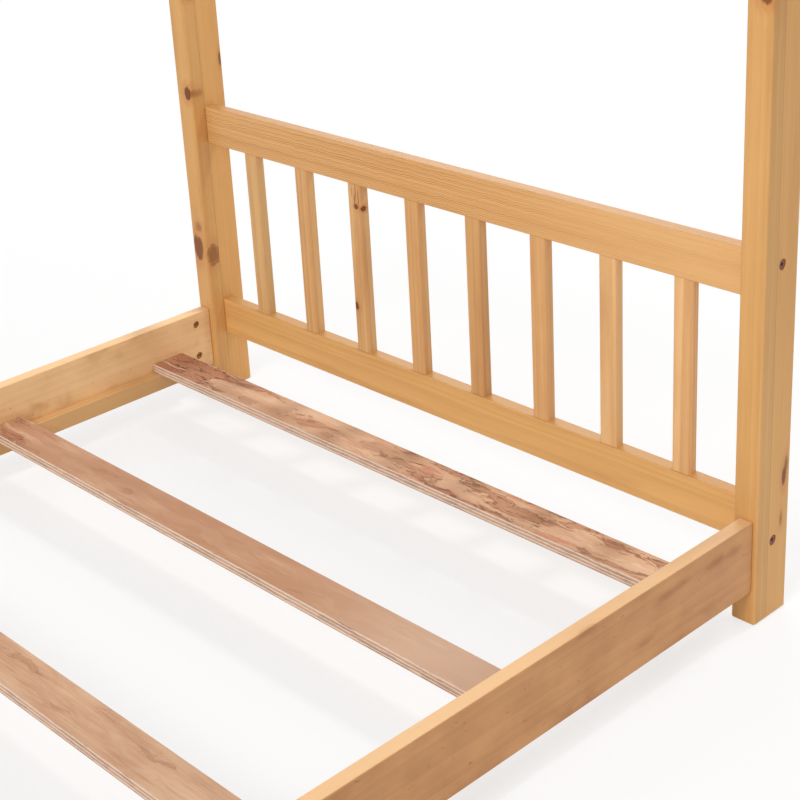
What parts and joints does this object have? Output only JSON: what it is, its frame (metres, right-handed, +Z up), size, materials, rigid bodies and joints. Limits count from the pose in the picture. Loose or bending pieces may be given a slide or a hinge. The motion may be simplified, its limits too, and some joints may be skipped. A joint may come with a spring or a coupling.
{
  "type": "house frame bed",
  "caption": "Low wooden floor bed with a slatted base, spindle end panels and an open gabled frame above.",
  "frame": {"origin": "middle of the bed's footprint, on the floor", "axes": "+Z up, +Y along the bed towards the head end, +X across the bed to its right-hand side"},
  "size_m": [1.06, 2, 1.65],
  "materials": {
    "pine": "satin",
    "plywood": "raw",
    "beech": "raw",
    "bronzed_steel": "bronze coloured plating"
  },
  "bodies": {
    "root": {"apex_dowels": "beech", "cleat_left": "pine", "cleat_right": "pine", "cleat_screws": "bronzed_steel", "eave_barrel_nuts": "bronzed_steel", "eave_beam_left": "pine", "eave_beam_right": "pine", "eave_bolts": "bronzed_steel", "eave_dowels": "beech", "eave_mitre_dowels": "beech", "foot_lower_rail": "pine", "foot_spindle_1": "pine", "foot_spindle_2": "pine", "foot_spindle_3": "pine", "foot_spindle_4": "pine", "foot_spindle_5": "pine", "foot_spindle_6": "pine", "foot_spindle_7": "pine", "foot_spindle_8": "pine", "foot_upper_rail": "pine", "head_lower_rail": "pine", "head_spindle_1": "pine", "head_spindle_2": "pine", "head_spindle_3": "pine", "head_spindle_4": "pine", "head_spindle_5": "pine", "head_spindle_6": "pine", "head_spindle_7": "pine", "head_spindle_8": "pine", "head_upper_rail": "pine", "panel_barrel_nuts": "bronzed_steel", "panel_bolts": "bronzed_steel", "panel_dowels": "beech", "post_foot_left": "pine", "post_foot_right": "pine", "post_head_left": "pine", "post_head_right": "pine", "rafter_barrel_nuts": "bronzed_steel", "rafter_bolts": "bronzed_steel", "rafter_foot_left": "pine", "rafter_foot_right": "pine", "rafter_head_left": "pine", "rafter_head_right": "pine", "ridge_barrel_nuts": "bronzed_steel", "ridge_beam": "pine", "ridge_bolts": "bronzed_steel", "side_rail_barrel_nuts": "bronzed_steel", "side_rail_bolts": "bronzed_steel", "side_rail_left": "pine", "side_rail_right": "pine", "slat_1": "plywood", "slat_2": "plywood", "slat_3": "plywood", "slat_4": "plywood", "slat_5": "plywood", "slat_6": "plywood"}
  },
  "joints": []
}
